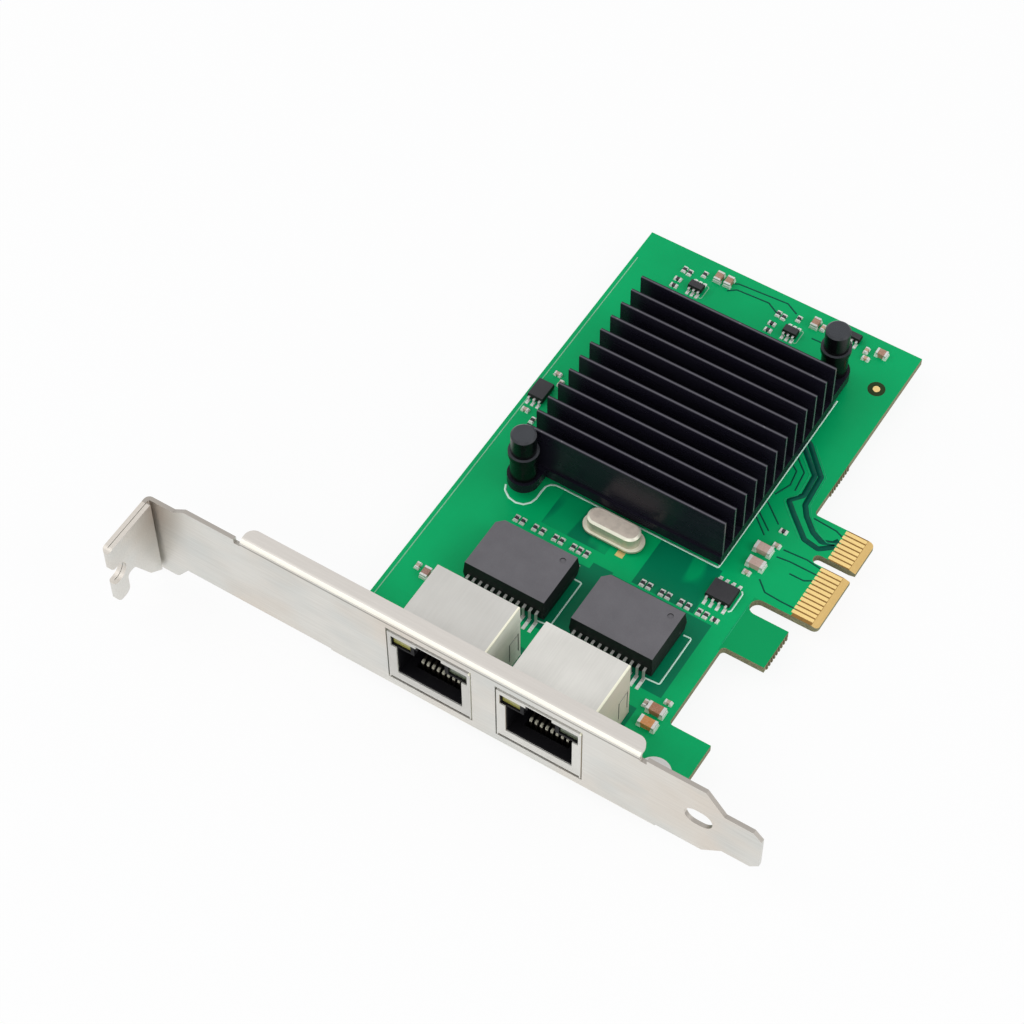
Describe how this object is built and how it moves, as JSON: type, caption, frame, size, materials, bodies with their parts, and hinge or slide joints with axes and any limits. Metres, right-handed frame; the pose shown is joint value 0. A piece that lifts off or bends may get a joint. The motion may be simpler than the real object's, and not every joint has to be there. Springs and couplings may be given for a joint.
{
  "type": "network interface card",
  "caption": "Flat expansion card with network jacks, a finned heatsink, a gold edge connector and a full-height mounting bracket.",
  "frame": {"origin": "centre of the edge connector's key notch at the finger edge, half way through the board's thickness", "axes": "+X points from the board's plain edge towards its edge connector, +Y away from the bracket, +Z to the component side"},
  "size_m": [0.12, 0.12, 0.0226],
  "materials": {
    "solder_mask": "green solder mask over fibreglass",
    "gold": "gold plating",
    "bracket_steel": "nickel-plated sheet",
    "screw_steel": "zinc-plated",
    "shield_metal": "tin-plated sheet",
    "black_plastic": "moulded, satin",
    "contact_metal": "plated spring wire",
    "lens_plastic": "tinted lens",
    "module_resin": "moulded, matt dark grey",
    "tin": "tinned",
    "black_anodised": "black anodised",
    "pad_rubber": "soft grey pad",
    "chip_resin": "moulded, matt black",
    "spring_steel": "plain wire",
    "can_metal": "drawn, bright",
    "base_glass": "dark insulating plate",
    "capacitor_ceramic": "matt tan ceramic",
    "resistor_ceramic": "black coated top"
  },
  "bodies": {
    "root": {"board": "solder_mask", "edge_contacts_front": "gold", "edge_contacts_back": "gold", "bracket": "bracket_steel", "bracket_screws": "screw_steel", "jack_shell_1": "shield_metal", "jack_shell_2": "shield_metal", "jack_housing_1": "black_plastic", "jack_housing_2": "black_plastic", "jack_contacts_1": "contact_metal", "jack_contacts_2": "contact_metal", "jack_lights_1": "lens_plastic", "jack_lights_2": "lens_plastic", "transformer_body_1": "module_resin", "transformer_body_2": "module_resin", "transformer_leads_1": "tin", "transformer_leads_2": "tin", "heatsink": "black_anodised", "thermal_pad": "pad_rubber", "controller_chip": "chip_resin", "push_pins": "black_plastic", "push_pin_springs": "spring_steel", "crystal_can": "can_metal", "crystal_base": "base_glass", "memory_chip_body": "chip_resin", "memory_chip_leads": "tin", "regulator_bodies": "chip_resin", "regulator_leads": "tin", "edge_transistor_body": "chip_resin", "edge_transistor_leads": "tin", "corner_transistor_body": "chip_resin", "corner_transistor_leads": "tin", "large_capacitor_bodies": "capacitor_ceramic", "large_capacitor_ends": "tin", "small_capacitor_bodies": "capacitor_ceramic", "small_capacitor_ends": "tin", "resistor_bodies": "resistor_ceramic", "resistor_ends": "tin"}
  },
  "joints": []
}
